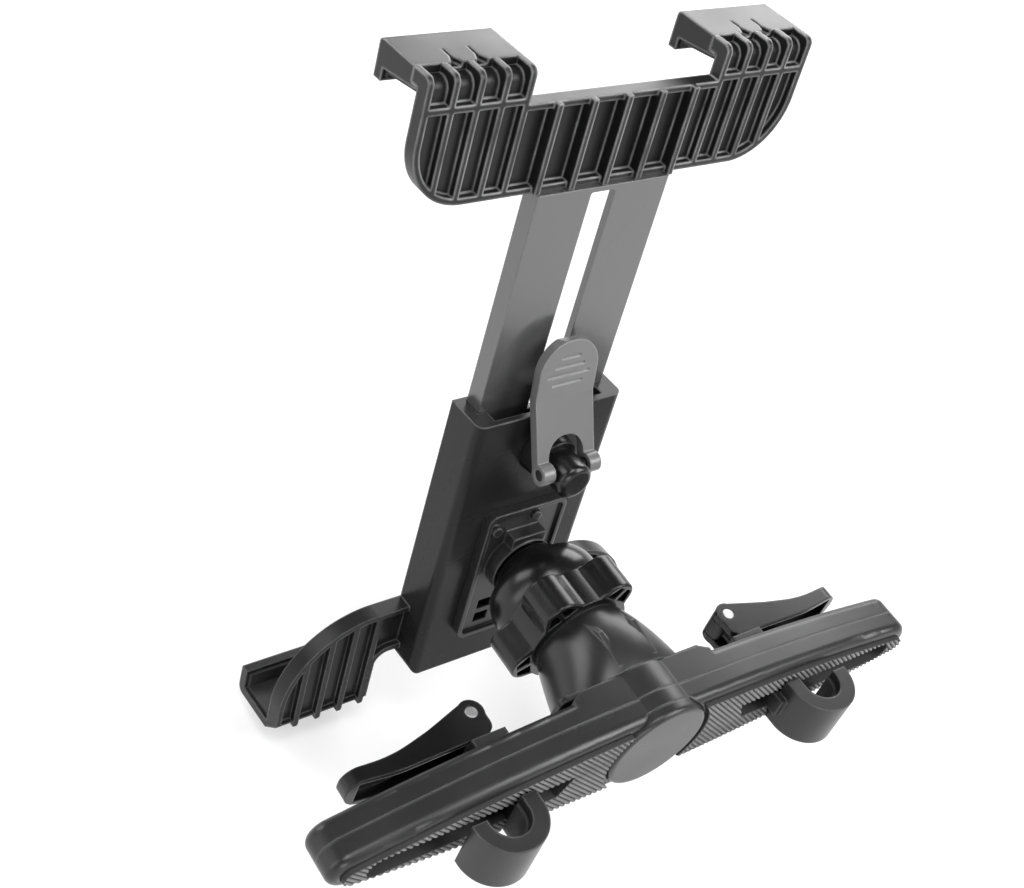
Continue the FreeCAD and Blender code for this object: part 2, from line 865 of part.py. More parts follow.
head = rod("lever_head", "Z", d.head_radius, lever_low, lever_high, x=pin_x, y=d.pin_y)
cam = rod("lever_cam", "Z", d.cam_radius, lever_low, lever_high,
          x=pin_x, y=d.pin_y - d.cam_offset)
cheeks = prism("lever_cheeks", "XY", lever_low, lever_high,
               block(pin_x - d.cam_radius, pin_x, d.pin_y - d.cam_offset, d.pin_y))
blade_plan = prism("lever_plan", "XY", lever_low, lever_high, lever_plan(pin_x))
lever_tip = pin_x + d.lever_reach
blade_face = prism("lever_face", "XZ", d.bar_split, d.pin_y * 2, [
    (pin_x, lever_low), (lever_tip, lever_low, d.lever_end_round),
    (lever_tip, lever_high, d.lever_end_round), (pin_x, lever_high)])
blade = common("lever_blade", blade_plan, blade_face)
trough = prism("lever_trough", "XY", lever_low + d.lever_wall, lever_high - d.lever_wall,
               lever_plan(pin_x + d.eye_radius + d.lever_wall, d.lever_wall, d.lever_wall))
fork_half = d.cheek_gap / 2
fork_low = d.bar_mid - fork_half
fork_high = d.bar_mid + fork_half
eye_space = rod("lever_eye_space", "Z", d.eye_radius + d.face_gap, fork_low, fork_high,
                x=pin_x, y=d.pin_y)
fork = prism("lever_fork", "XY", fork_low, fork_high,
             block(pin_x - d.cam_radius * 2, pin_x + d.stud_radius + d.face_gap,
                   cam_face - d.cam_radius, d.pin_y + d.head_radius * 2))
lever = cut("lever_solid", fuse("lever_blank", head, cam, cheeks, blade),
            trough, eye_space, fork, pin_bore)

SIDE_PIECES = {
    "post_hook": hook,
    "hook_stud": stud,
    "cam_pin": pin,
    "slide_block": slide_block,
    "cam_lever": lever,
}
for label, solid in SIDE_PIECES.items():
    piece(f"{label}_right", solid)
    piece(f"{label}_left", mirrored(label + "_other", solid))

# Ball neck and adapter plate, drawn in the ball frame

neck_collar = rod("neck_collar", "Y", d.collar_radius, d.collar_radius / 2,
                  d.adapter_rear - d.running)
spigot = rod("neck_spigot", "Y", d.spigot_radius, d.spigot_radius,
             d.house_rear - d.face_gap)
seat = doc.addObject("Part::Sphere", "neck_seat")
bind(seat, "Radius", cup_radius)
on_ball("ball_neck", cut("neck_solid", fuse("neck_blank", neck_collar, spigot), seat))



def adapter_outline(inset=0):
    """The adapter plate from behind, drawn in by an inset all round."""
    side = d.adapter_half - inset
    bend = d.adapter_round - inset
    return [
        (-side, inset - d.adapter_bottom, bend),
        (side, inset - d.adapter_bottom, bend),
        (side, d.adapter_top - inset, bend),
        (-side, d.adapter_top - inset, bend),
    ]


adapter_floor = d.adapter_rear + d.adapter_step
plate = cut(
    "adapter_sheet",
    prism("adapter_slab", "XZ", d.adapter_rear, d.house_rear, adapter_outline()),
    prism("adapter_dish", "XZ", d.adapter_rear, adapter_floor, adapter_outline(d.adapter_rim)))
boss = rod("adapter_boss", "Y", d.boss_radius, d.boss_reach, adapter_floor)
key = prism("adapter_key", "XZ", d.key_rear, adapter_floor,
            block(-d.key_half, d.key_half, 0, d.key_top))
bumps = [rod(name, "Y", d.bump_radius, d.adapter_rear - d.bump_height, adapter_floor, x=x, z=z)
         for name, x, z in (("bump_side", -d.bump_side_x, d.bump_side_z),
                            ("bump_top", d.bump_top_x, d.bump_top_z))]
dome_space = doc.addObject("Part::Sphere", "adapter_dome_space")
bind(dome_space, "Radius", cup_radius + d.face_gap)
collar_bore = rod("collar_bore", "Y", d.collar_radius + d.face_gap, 0, d.adapter_rear)
spigot_bore = rod("spigot_bore", "Y", d.spigot_radius + d.running, 0, d.house_rear)
vent_step = d.vent_tall + d.vent_strap
vents = prism("adapter_vents", "XZ", d.adapter_rear, d.house_rear, *[
    block(-d.vent_outer, -d.vent_inner, number * vent_step - d.vent_low,
          number * vent_step + d.vent_tall - d.vent_low) for number in range(2)])
on_ball("adapter_plate", cut(
    "adapter_solid", fuse("adapter_blank", plate, boss, key, *bumps),
    dome_space, collar_bore, spigot_bore, vents))

# Clamp housing: a sleeve for the slide, with the two lower claws

house_plan = prism("house_plan", "XY", -d.house_bottom, d.house_top, [
    (-d.house_half, d.house_rear, d.house_round),
    (d.house_half, d.house_rear, d.house_round),
    (d.house_half, d.house_front),
    (-d.house_half, d.house_front),
])
house_face = prism("house_face", "XZ", d.house_rear, d.house_front, [
    (-d.house_half, -d.house_bottom, d.house_round),
    (d.house_half, -d.house_bottom, d.house_round),
    (d.house_half, d.house_top),
    (-d.house_half, d.house_top),
])
floor_top = d.house_floor - d.house_bottom
past_top = d.house_top + d.house_floor
channel_half = d.slide_half + d.slide_gap
channel_rear = d.slide_rear - d.slide_gap
channel_front = d.slide_front + d.slide_gap
hollows = [
    prism("house_channel", "XY", floor_top, past_top,
          block(-channel_half, channel_half, channel_rear, channel_front)),
    prism("house_well", "XY", floor_top, past_top,
          block(-d.well_half, d.well_half, d.house_rear + d.house_wall, channel_front)),
    prism("house_window", "XY", floor_top, past_top,
          block(-d.window_half, d.window_half, channel_rear, d.house_front + d.house_wall)),
    rod("house_bore", "Y", d.lock_shank + d.running, 0, d.slide_rear, z=d.lock_height),
]
sleeve = cut("house_sleeve", common("house_blank", house_plan, house_face), *hollows)
root_x = d.house_half - d.house_wall / 2


def claw_outline(inset=0, below=0):
    """The right claw from the front, drawn in by an inset at its curved rim."""
    low = -d.claw_rear_bottom - below
    return [
        (root_x, inset - d.claw_root),
        (root_x, -d.claw_top - inset),
        (d.claw_half - inset, -d.claw_top - inset, d.claw_bend - inset),
        (d.claw_half - inset, low),
        (d.claw_inner + inset, low),
        (d.claw_inner + inset, inset - d.claw_root, d.claw_notch_bend + inset),
    ]


claw_back = d.house_front - d.claw_web
claw_rear = claw_back - d.claw_rib_depth
claw_floor = d.grip_wall - d.claw_bottom
claw_lip = d.house_front + d.throat
claw_wall = prism("claw_wall", "XZ", claw_back, d.house_front, claw_outline())
claw_block = prism("claw_block", "XZ", claw_rear, claw_back, claw_outline())
claw_inside = prism("claw_inside", "XZ", claw_rear, claw_back, claw_outline(d.claw_rim, d.claw_rim))
claw_frame = cut("claw_frame", claw_block, claw_inside)
tooth_half = d.claw_rib_width / 2
teeth = prism("claw_teeth", "XZ", claw_rear, claw_back, *[
    [(middle - tooth_half, -d.claw_tooth_end, d.claw_tooth_round),
     (middle + tooth_half, -d.claw_tooth_end, d.claw_tooth_round),
     (middle + tooth_half, -d.claw_top), (middle - tooth_half, -d.claw_top)]
    for middle in [d.claw_rib_first + number * d.claw_rib_pitch
                   for number in range(int(d.claw_rib_count.value))]])
tooth_field = prism("claw_tooth_field", "XZ", claw_rear, claw_back,
                    claw_outline(0, d.claw_tooth_end - d.claw_rear_bottom))
claw_ribs = common("claw_ribs", tooth_field, teeth)
claw_hook = prism("claw_hook", "YZ", d.claw_inner, d.claw_half, [
    (claw_rear, -d.claw_rear_bottom),
    (d.house_front, -d.claw_bottom),
    (claw_lip + d.grip_wall, -d.claw_bottom, d.claw_lip_round),
    (claw_lip + d.grip_wall, d.lip_drop - d.claw_bottom),
    (claw_lip, d.lip_drop - d.claw_bottom),
    (claw_lip, claw_floor),
    (d.house_front, claw_floor),
    (d.house_front, -d.claw_rear_bottom),
])
claw = fuse("claw_right", claw_wall, claw_frame, claw_ribs, claw_hook)
on_ball("clamp_housing", fuse("housing_solid", sleeve, *both("claw", claw)))


def liner(name, x0, x1, back, wall, lip_end, sign, slope=0):
    """A thin rubber lining under a hook's top and inside its lip.

    The top leans: it is higher by the slope at the hook's root than at its lip.
    """
    step = sign * d.liner
    return prism(name, "YZ", x0 + d.liner, x1 - d.liner, [
        (back + d.liner, wall + slope), (back + d.throat, wall),
        (back + d.throat, lip_end), (back + d.throat - d.liner, lip_end),
        (back + d.throat - d.liner, wall + step), (back + d.liner, wall + slope + step)])


claw_liner = liner("claw_liner", d.claw_inner, d.claw_half, d.house_front, claw_floor,
                   d.lip_drop - d.claw_bottom - d.liner, 1)
on_ball("claw_liner_right", claw_liner)
piece("claw_liner_left", mirrored("claw_liner_other", claw_liner))

# Slide, ribbed head and upper hooks

slide_shape = prism("slide_shape", "XY", d.slide_bottom, d.head_bottom, [
    (-d.slide_half, d.slide_rear), (d.slide_half, d.slide_rear),
    (d.slide_half, d.slide_front), (d.slide_half - d.slide_flange, d.slide_front),
    (d.slide_half - d.slide_flange, d.slide_rear + d.slide_web),
    (d.slide_flange - d.slide_half, d.slide_rear + d.slide_web),
    (d.slide_flange - d.slide_half, d.slide_front), (-d.slide_half, d.slide_front)])
track_top = d.head_bottom - d.track_margin
track = prism("slide_track", "XZ", d.slide_rear, d.slide_front, [
    (-d.track_half, d.track_bottom, d.track_round),
    (d.track_half, d.track_bottom, d.track_round),
    (d.track_half, track_top, d.track_round),
    (-d.track_half, track_top, d.track_round)])
on_ball("slide_plate", cut("slide_solid", slide_shape, track))


def head_outline(inset=0):
    """The ribbed head from the front, drawn in by an inset all round."""
    side = d.head_half - inset
    return [
        (-side, d.head_bottom + inset, d.head_corner - inset),
        (side, d.head_bottom + inset, d.head_corner - inset),
        (side, d.head_top - inset),
        (-side, d.head_top - inset),
    ]


head_back = d.slide_front - d.head_web
head_web = prism("head_web", "XZ", head_back, d.slide_front, head_outline())
head_block = prism("head_block", "XZ", d.head_rear, head_back, head_outline())
head_inside = prism("head_inside", "XZ", d.head_rear, head_back, head_outline(d.head_rim))
wing_top = prism("head_wing_top", "XZ", d.head_rear, head_back,
                 block(d.grip_inner, d.head_half - d.head_rim,
                       d.head_top - d.head_rim * 2, d.head_top))
head_frame = cut("head_frame", head_block, head_inside, *both("head_wing_top", wing_top))
rib_half = d.rib_width / 2
middle_start = -(d.rib_count - 1) * d.rib_pitch / 2
middle_ribs = prism("middle_ribs", "XZ", d.head_rib_rear, head_back, *[
    block(middle_start + number * d.rib_pitch - rib_half,
          middle_start + number * d.rib_pitch + rib_half, d.head_bottom, d.head_top)
    for number in range(int(d.rib_count.value))])

# Each wing's ribs run on as fins of the bracket that carries the upper hook; the last
# place is the wing's outer rim
wing_first = d.grip_inner + rib_half
wing_last = d.head_half - rib_half
wing_pitch = (wing_last - wing_first) / d.wing_bays
wing_places = [wing_first + number * wing_pitch for number in range(int(d.wing_bays.value) + 1)]
wing_ribs = prism("wing_ribs", "XZ", d.head_rear, head_back, *[
    block(middle - rib_half, middle + rib_half, d.head_bottom, d.head_top)
    for middle in wing_places[:-1]])
wing = common("wing_right", wing_ribs, head_block)
bracket_top = d.grip_top - d.bracket_step
bracket_low = bracket_top - d.head_web
bracket = prism("bracket_right", "YZ", d.grip_inner, d.head_half, [
    (head_back, d.head_top - d.head_rim),
    (d.slide_front, d.head_top - d.head_rim),
    (d.slide_front, bracket_low),
    (d.cap_seam, bracket_low),
    (d.cap_seam, bracket_top),
    (head_back, bracket_top, d.bracket_round),
])
bracket_foot = prism("bracket_foot", "XZ", d.head_rear, head_back,
                     block(d.grip_inner, d.head_half, d.head_top, d.head_top + d.head_rim))
fins = [prism(f"fin_{number}", "YZ", middle - rib_half, middle + rib_half, [
    (d.head_rear, d.head_top),
    (d.slide_front, d.head_top),
    (d.slide_front, bracket_low),
    (d.cap_seam, bracket_low),
    (d.cap_seam, d.grip_top),
    (d.head_rear, d.grip_top, d.fin_round),
]) for number, middle in enumerate(wing_places)]
wing_solid = fuse("wing_solid", wing, bracket, bracket_foot, *fins)
on_ball("ribbed_head", fuse("head_solid", head_web, head_frame, middle_ribs,
                            *both("wing_solid", wing_solid)))

grip_lip = d.slide_front + d.throat
grip_low = d.grip_top - d.lip_drop
cap_back = d.slide_front + d.face_gap
cap_root = d.grip_top - d.cap_wall
cap_low = cap_root - d.cap_slope
grip_blank = prism("grip_blank", "YZ", d.grip_inner, d.head_half, [
    (d.cap_seam, d.grip_top),
    (d.cap_seam, bracket_low),
    (cap_back, bracket_low),
    (cap_back, cap_root),
    (grip_lip, cap_low),
    (grip_lip, grip_low),
    (grip_lip + d.grip_wall, grip_low),
    (grip_lip + d.grip_wall, d.grip_top, d.grip_round),
])
notch_half = d.notch_slit / 2
flare_end = d.cap_seam + d.notch_flare
notch_end = d.cap_seam + d.notch_reach
notches = prism("grip_notches", "XY", d.grip_top - d.notch_depth, d.grip_top, *[
    [(middle - d.notch_mouth, d.cap_seam), (middle + d.notch_mouth, d.cap_seam),
     (middle + notch_half, flare_end), (middle + notch_half, notch_end),
     (middle - notch_half, notch_end), (middle - notch_half, flare_end)]
    for middle in (wing_first + wing_pitch * 1.5, wing_first + wing_pitch * 2.5)])
grip = cut("grip", grip_blank, notches)
on_ball("upper_hook_right", grip)
piece("upper_hook_left", mirrored("grip_other", grip))
grip_liner = liner("grip_liner", d.grip_inner, d.head_half, d.slide_front, cap_low,
                   grip_low + d.liner, -1,
                   d.cap_slope * (d.throat - d.liner) / (d.throat - d.face_gap))
on_ball("hook_liner_right", grip_liner)
piece("hook_liner_left", mirrored("grip_liner_other", grip_liner))

# Slide lock

lock_head_rear = d.slide_rear + d.slide_web + d.slide_gap
lock_turned = turned("lock_turned", [
    (d.lock_rear, 0),
    (lock_head_rear + d.lock_head_depth, 0),
    (lock_head_rear + d.lock_head_depth, d.lock_head),
    (lock_head_rear, d.lock_head),
    (lock_head_rear, d.lock_shank),
    (d.house_rear, d.lock_shank),
    (d.house_rear, d.lock_radius),
    (d.lock_rear, d.lock_radius, d.lock_dome),
], height=d.lock_height)
pivot_z = d.lock_height + d.lever_pivot_rise
lock_pin_bore = rod("lock_pin_bore", "X", d.lock_pin_radius + d.running,
                    -d.lever_width, d.lever_width, y=d.lever_pivot, z=pivot_z)
on_ball("lock_stud", cut("lock_stud_solid", lock_turned, lock_pin_bore))
pin_half = d.lever_width / 2 - d.face_gap
lock_pin = prism("lock_pin_solid", "YZ", -pin_half, pin_half,
                 circles=[(d.lever_pivot, pivot_z, d.lock_pin_radius)])
collar_rear = d.lever_pivot + d.lock_cam + d.collar_lift
collar = turned("lock_collar", [
    (collar_rear, d.lock_radius + d.running),
    (d.house_rear, d.lock_radius + d.running),
    (d.house_rear, d.collar_flare),
    (collar_rear, d.lock_radius + d.collar_wall),
], height=d.lock_height)
on_ball("lock_collar", collar)

lever_half = d.lever_width / 2
leg_end = pivot_z - d.lock_cam
side_view = prism("lock_side", "YZ", -lever_half, lever_half, [
    (d.lever_pivot, pivot_z),
    (d.lever_pivot + d.lever_thick, pivot_z - d.lever_slant),
    (d.lever_bend_y + d.lever_thick, d.lever_bend_z - d.lever_slant),
    (d.lever_top_y + d.lever_thick, d.lever_top_z - d.lever_slant),
    (d.lever_top_y, d.lever_top_z),
    (d.lever_bend_y, d.lever_bend_z),
])
front_view = prism("lock_front", "XZ", 0, d.house_front, [
    (d.lever_arch, leg_end),
    (lever_half, leg_end),
    (lever_half, d.lever_top_z, d.lever_round),
    (-lever_half, d.lever_top_z, d.lever_round),
    (-lever_half, leg_end),
    (-d.lever_arch, leg_end),
    (-d.lever_arch, d.lever_arch_top, d.lever_arch_round),
    (d.lever_arch, d.lever_arch_top, d.lever_arch_round),
])
cams = rod("lock_cams", "X", d.lock_cam, -lever_half, lever_half, y=d.lever_pivot, z=pivot_z)
cam_gap = prism("lock_cam_gap", "YZ", -d.lever_arch, d.lever_arch,
                circles=[(d.lever_pivot, pivot_z, d.lock_cam + d.face_gap)])
lever_blade = common("lock_blade", side_view, front_view)
slope_y = (d.lever_top_y - d.lever_bend_y) / (d.lever_top_z - d.lever_bend_z)
groove_halves = (d.groove_mid, d.groove_long, d.groove_mid, d.groove_short)
grooves = []
for number, half in enumerate(groove_halves):
    along = d.groove_first + number * d.groove_pitch
    grooves.append(rod(f"lock_groove_{number}", "X", d.groove_radius, -half, half,
                       y=d.lever_bend_y + along * slope_y, z=d.lever_bend_z + along))
on_ball("lock_lever", cut("lock_lever_solid",
                          fuse("lock_lever_blank", lever_blade,
                               cut("lock_cheeks", cams, cam_gap)),
                          lock_pin_bore, *grooves))
on_ball("lock_pin", lock_pin)

# Checks and files

doc.recompute()
for thing in doc.Objects:
    if "Invalid" in thing.State or "Error" in thing.State:
        raise RuntimeError(f"{thing.Label} did not build")
for solid in PIECES:
    if solid.Shape.isNull() or not solid.Shape.isValid():
        raise RuntimeError(f"{solid.Label} has no valid shape")

os.makedirs("parts", exist_ok=True)
for solid in PIECES:
    solid.Shape.exportStep(f"parts/{solid.Label}.step")
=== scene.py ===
"""Looks of the tablet holder: finishes for the moulded parts and the fine pieces on them.

Row frame in metres: +X right along the crossbar, +Y from the headrest to the tablet,
+Z up, the pads' rear face at y = 0 and the arm's axis at x = z = 0.
"""
import json
import math

import bpy
import numpy as np
from mathutils import Matrix, Vector


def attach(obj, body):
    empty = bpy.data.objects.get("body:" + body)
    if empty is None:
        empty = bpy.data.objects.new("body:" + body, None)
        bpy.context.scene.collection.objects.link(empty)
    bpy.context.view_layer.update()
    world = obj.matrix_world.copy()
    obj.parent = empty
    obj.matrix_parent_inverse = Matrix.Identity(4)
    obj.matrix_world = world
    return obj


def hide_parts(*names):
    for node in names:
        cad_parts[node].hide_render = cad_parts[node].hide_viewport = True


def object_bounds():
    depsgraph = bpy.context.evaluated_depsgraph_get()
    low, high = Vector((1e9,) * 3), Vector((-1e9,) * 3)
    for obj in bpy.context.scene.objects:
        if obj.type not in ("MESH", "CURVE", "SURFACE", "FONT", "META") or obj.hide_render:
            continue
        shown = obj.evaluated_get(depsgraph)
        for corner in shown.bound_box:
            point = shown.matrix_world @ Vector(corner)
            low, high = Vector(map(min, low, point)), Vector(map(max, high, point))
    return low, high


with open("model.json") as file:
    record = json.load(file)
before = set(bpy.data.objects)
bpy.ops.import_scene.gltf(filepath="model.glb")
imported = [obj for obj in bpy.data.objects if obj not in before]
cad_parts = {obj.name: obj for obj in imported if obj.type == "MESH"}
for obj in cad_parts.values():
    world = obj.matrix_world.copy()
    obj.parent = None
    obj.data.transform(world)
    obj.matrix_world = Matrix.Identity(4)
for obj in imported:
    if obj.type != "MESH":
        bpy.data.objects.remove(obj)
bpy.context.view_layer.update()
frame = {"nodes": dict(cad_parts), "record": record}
nodes = frame["nodes"]
MM = 0.001


# Meshes

def mesh_piece(name, points, quads, smooth=True):
    """An object from an array of points in millimetres and an array of quads."""
    mesh = bpy.data.meshes.new(name)
    points = np.asarray(points, float).reshape(-1, 3) * MM
    quads = np.asarray(quads, int).reshape(-1, 4)
    mesh.vertices.add(len(points))
    mesh.vertices.foreach_set("co", points.ravel())
    mesh.loops.add(quads.size)
    mesh.loops.foreach_set("vertex_index", quads.ravel())
    mesh.polygons.add(len(quads))
    mesh.polygons.foreach_set("loop_start", np.arange(0, quads.size, 4))
    mesh.polygons.foreach_set("use_smooth", np.full(len(quads), smooth))
    mesh.update(calc_edges=True)
    mesh.validate()
    piece = bpy.data.objects.new(name, mesh)
    bpy.context.scene.collection.objects.link(piece)
    return piece


def ring_faces(rows, around, closed):
    """Quads between rows of points that each go once round.

    Closed joins the last row to the first as well.
    """
    row = np.arange(rows if closed else rows - 1)[:, None]
    place = np.arange(around)[None]
    after = (place + 1) % around
    below = (row + 1) % rows
    return np.stack([row * around + place, row * around + after,
                     below * around + after, below * around + place], -1).reshape(-1, 4)


def finish_piece(piece, body, material):
    """The piece rides on its body and takes its finish."""
    piece.data.materials.clear()
    piece.data.materials.append(material)
    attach(piece, body)
    return piece


# Finishes

class Nodes:
    """Places nodes in a tree and joins their sockets."""

    def __init__(self, tree):
        self.tree = tree

    def add(self, kind, inputs=None, **settings):
        node = self.tree.nodes.new(kind)
        for key, value in settings.items():
            setattr(node, key, value)
        for key, value in (inputs or {}).items():
            self.join(value, node.inputs[key])
        return node

    def join(self, value, socket):
        if isinstance(value, bpy.types.NodeSocket):
            self.tree.links.new(value, socket)
        else:
            socket.default_value = value

    def math(self, operation, *values, clamp=False):
        node = self.add("ShaderNodeMath", operation=operation, use_clamp=clamp)
        for value, socket in zip(values, node.inputs):
            self.join(value, socket)
        return node.outputs[0]

    def range(self, value, low, high, start=0.0, end=1.0):
        node = self.add("ShaderNodeMapRange", {"Value": value, "From Min": low,
                                               "From Max": high, "To Min": start,
                                               "To Max": end})
        return node.outputs[0]

    def mix(self, share, first, second):
        node = self.add("ShaderNodeMix", data_type="RGBA")
        self.join(share, node.inputs[0])
        self.join(first, node.inputs[6])
        self.join(second, node.inputs[7])
        return node.outputs[2]


def effect_group(name, inputs, outputs):
    """An empty shader group with its named inputs and outputs."""
    group = bpy.data.node_groups.new(name, "ShaderNodeTree")
    kinds = {float: "NodeSocketFloat", tuple: "NodeSocketColor", str: "NodeSocketVector"}
    for label, value in inputs.items():
        socket = group.interface.new_socket(label, in_out="INPUT", socket_type=kinds[type(value)])
        socket.default_value = value
    for label, kind in outputs.items():
        group.interface.new_socket(label, in_out="OUTPUT", socket_type=kinds[kind])
    make = Nodes(group)
    return group, make, make.add("NodeGroupInput").outputs, make.add("NodeGroupOutput").inputs


def moulded_group():
    """Moulded plastic: softened edges, a fine spark-eroded grain and lighter edges.

    Edge mask = how far the rounded normal leaves the face's own normal. The lighter
    edge colour shows there, broken up by a broad noise: a painted highlight, partly
    wear. Uneven is how far roughness and colour drift from patch to patch.
    """
    group, make, given, out = effect_group(
        "moulded plastic",
        {"Colour": (0.02, 0.02, 0.021, 1.0), "Wear And Sheen Colour": (0.08, 0.08, 0.083, 1.0),
         "Roughness": 0.38, "Edge Width": 0.0006, "Grain Scale": 4200.0,
         "Grain Depth": 0.12, "Wear And Sheen": 0.5, "Uneven": 0.05},
        {"Colour": tuple, "Roughness": float, "Normal": str})
    place = make.add("ShaderNodeTexCoord").outputs["Object"]
    plain = make.add("ShaderNodeNewGeometry").outputs["Normal"]
    soft = make.add("ShaderNodeBevel", {"Radius": given["Edge Width"]}, samples=4)
    turn = make.add("ShaderNodeVectorMath", {0: plain, 1: soft.outputs[0]},
                    operation="DOT_PRODUCT").outputs["Value"]
    edge = make.range(turn, 0.995, 0.86)
    broad = make.add("ShaderNodeTexNoise", {"Vector": place, "Scale": 130.0, "Detail": 4.0})
    broken = make.range(broad.outputs["Fac"], 0.25, 0.6, 0.35, 1.0)
    # Painted highlight: a lighter colour on the edges stands in for light caught by rounded
    # edges; partly it is wear.
    wear_and_sheen = make.math("MULTIPLY", make.math("MULTIPLY", edge, broken), given["Wear And Sheen"],
                       clamp=True)
    grain = make.add("ShaderNodeTexNoise", {"Vector": place, "Scale": given["Grain Scale"],
                                            "Detail": 2.0, "Roughness": 0.6})
    bump = make.add("ShaderNodeBump", {"Height": grain.outputs["Fac"],
                                       "Strength": given["Grain Depth"],
                                       "Distance": 0.0001, "Normal": soft.outputs[0]})
    cloud = make.add("ShaderNodeTexNoise", {"Vector": place, "Scale": 45.0, "Detail": 3.0})
    patch = make.math("MULTIPLY", make.range(cloud.outputs["Fac"], 0.3, 0.7, -1.0, 1.0),
                      given["Uneven"])
    tint = make.math("MULTIPLY", make.range(cloud.outputs["Fac"], 0.3, 0.7, 0.0, 0.15),
                     given["Uneven"])
    base = make.mix(tint, given["Colour"], given["Wear And Sheen Colour"])
    make.join(make.mix(wear_and_sheen, base, given["Wear And Sheen Colour"]), out["Colour"])
    make.join(make.math("ADD", given["Roughness"], patch, clamp=True), out["Roughness"])
    make.join(bump.outputs[0], out["Normal"])
    return group


def rubber_group():
    """Rubber: a dusty, uneven matt surface with a soft pebble.

    Painted shade: the pads darken between their ribs with the depth in front of their rear face
    at y = 0.
    """
    group, make, given, out = effect_group(
        "matt rubber",
        {"Colour": (0.04, 0.04, 0.04, 1.0), "Dust Colour": (0.15, 0.15, 0.15, 1.0),
         "Roughness": 0.7, "Dust": 0.4, "Pebble Scale": 2600.0, "Groove Shade": 0.0,
         "Groove Depth": 0.0004},
        {"Colour": tuple, "Roughness": float, "Normal": str})
    place = make.add("ShaderNodeTexCoord").outputs["Object"]
    soft = make.add("ShaderNodeBevel", {"Radius": 0.0003}, samples=4)
    broad = make.add("ShaderNodeTexNoise", {"Vector": place, "Scale": 260.0, "Detail": 5.0})
    dusty = make.math("MULTIPLY", make.range(broad.outputs["Fac"], 0.35, 0.75), given["Dust"])
    pebble = make.add("ShaderNodeTexNoise", {"Vector": place, "Scale": given["Pebble Scale"],
                                             "Detail": 2.0})
    bump = make.add("ShaderNodeBump", {"Height": pebble.outputs["Fac"], "Strength": 0.25,
                                       "Distance": 0.0001, "Normal": soft.outputs[0]})
    # Painted shade: the deeper in front of the rear face, the more the colour mixes towards near
    # black.
    deep = make.add("ShaderNodeSeparateXYZ", {0: place}).outputs["Y"]
    share = make.math("DIVIDE", deep, given["Groove Depth"], clamp=True)
    groove_shade = make.math("MULTIPLY", share, given["Groove Shade"], clamp=True)
    dusted = make.mix(dusty, given["Colour"], given["Dust Colour"])
    make.join(make.mix(groove_shade, dusted, (0.008, 0.008, 0.008, 1.0)), out["Colour"])
    make.join(make.math("ADD", given["Roughness"],
                        make.range(broad.outputs["Fac"], 0.3, 0.7, -0.06, 0.06)),
              out["Roughness"])
    make.join(bump.outputs[0], out["Normal"])
    return group


def grouped_material(name, group, values, coat=0.0, specular=0.5, metallic=0.0):
    """A material whose colour, roughness and normal come from an effect group."""
    material = bpy.data.materials.new(name)
    material.use_nodes = True
    material.node_tree.nodes.clear()
    make = Nodes(material.node_tree)
    effect = make.add("ShaderNodeGroup")
    effect.node_tree = group
    for label, value in values.items():
        effect.inputs[label].default_value = value
    shader = make.add("ShaderNodeBsdfPrincipled", {
        "Base Color": effect.outputs["Colour"], "Roughness": effect.outputs["Roughness"],
        "Normal": effect.outputs["Normal"], "Coat Weight": coat,
        "Specular IOR Level": specular, "Metallic": metallic, "Coat Roughness": 0.12})
    make.add("ShaderNodeOutputMaterial", {"Surface": shader.outputs[0]})
    return material


moulded = moulded_group()
rubber = rubber_group()

# Each finish's lighter edge colour is a painted highlight on its edges, partly wear; the ribbed
# head's is strongest, for its bright rims and rib edges.
shell_black = grouped_material("shell_satin_black", moulded, {
    "Colour": (0.019, 0.019, 0.0193, 1), "Wear And Sheen Colour": (0.14, 0.14, 0.142, 1),
    "Roughness": 0.3, "Wear And Sheen": 0.8, "Edge Width": 0.0008}, specular=0.42)
housing_black = grouped_material("housing_satin_black", moulded, {
    "Colour": (0.017, 0.017, 0.0172, 1), "Wear And Sheen Colour": (0.22, 0.22, 0.222, 1),
    "Roughness": 0.27, "Wear And Sheen": 0.9, "Edge Width": 0.0007}, specular=0.16)
head_black = grouped_material("head_satin_black", moulded, {
    "Colour": (0.008, 0.008, 0.0082, 1), "Wear And Sheen Colour": (0.42, 0.42, 0.424, 1),
    "Roughness": 0.36, "Wear And Sheen": 1.0, "Edge Width": 0.0009}, specular=0.3)
gloss_black = grouped_material("gloss_black", moulded, {
    "Colour": (0.005, 0.005, 0.0052, 1), "Wear And Sheen Colour": (0.09, 0.09, 0.092, 1),
    "Roughness": 0.24, "Grain Depth": 0.05}, specular=0.42)
slide_grey = grouped_material("slide_dark_grey", moulded, {
    "Colour": (0.05, 0.05, 0.051, 1), "Wear And Sheen Colour": (0.16, 0.16, 0.163, 1),
    "Roughness": 0.24, "Grain Depth": 0.01, "Uneven": 0.015}, coat=0.5, specular=0.9)
lever_grey = grouped_material("lever_dark_grey", moulded, {
    "Colour": (0.13, 0.13, 0.132, 1), "Wear And Sheen Colour": (0.34, 0.34, 0.345, 1),
    "Roughness": 0.3, "Wear And Sheen": 0.7}, specular=0.6)
pad_grey = grouped_material("pad_rubber_grey", rubber, {
    "Colour": (0.19, 0.19, 0.19, 1), "Dust Colour": (0.36, 0.36, 0.36, 1),
    "Groove Shade": 0.9})
liner_black = grouped_material("liner_rubber_black", rubber, {
    "Colour": (0.02, 0.02, 0.02, 1), "Dust Colour": (0.06, 0.06, 0.06, 1),
    "Roughness": 0.62})
pin_steel = grouped_material("pin_steel", moulded, {
    "Colour": (0.55, 0.55, 0.56, 1), "Wear And Sheen Colour": (0.7, 0.7, 0.71, 1),
    "Roughness": 0.28, "Grain Depth": 0.2}, metallic=1.0)
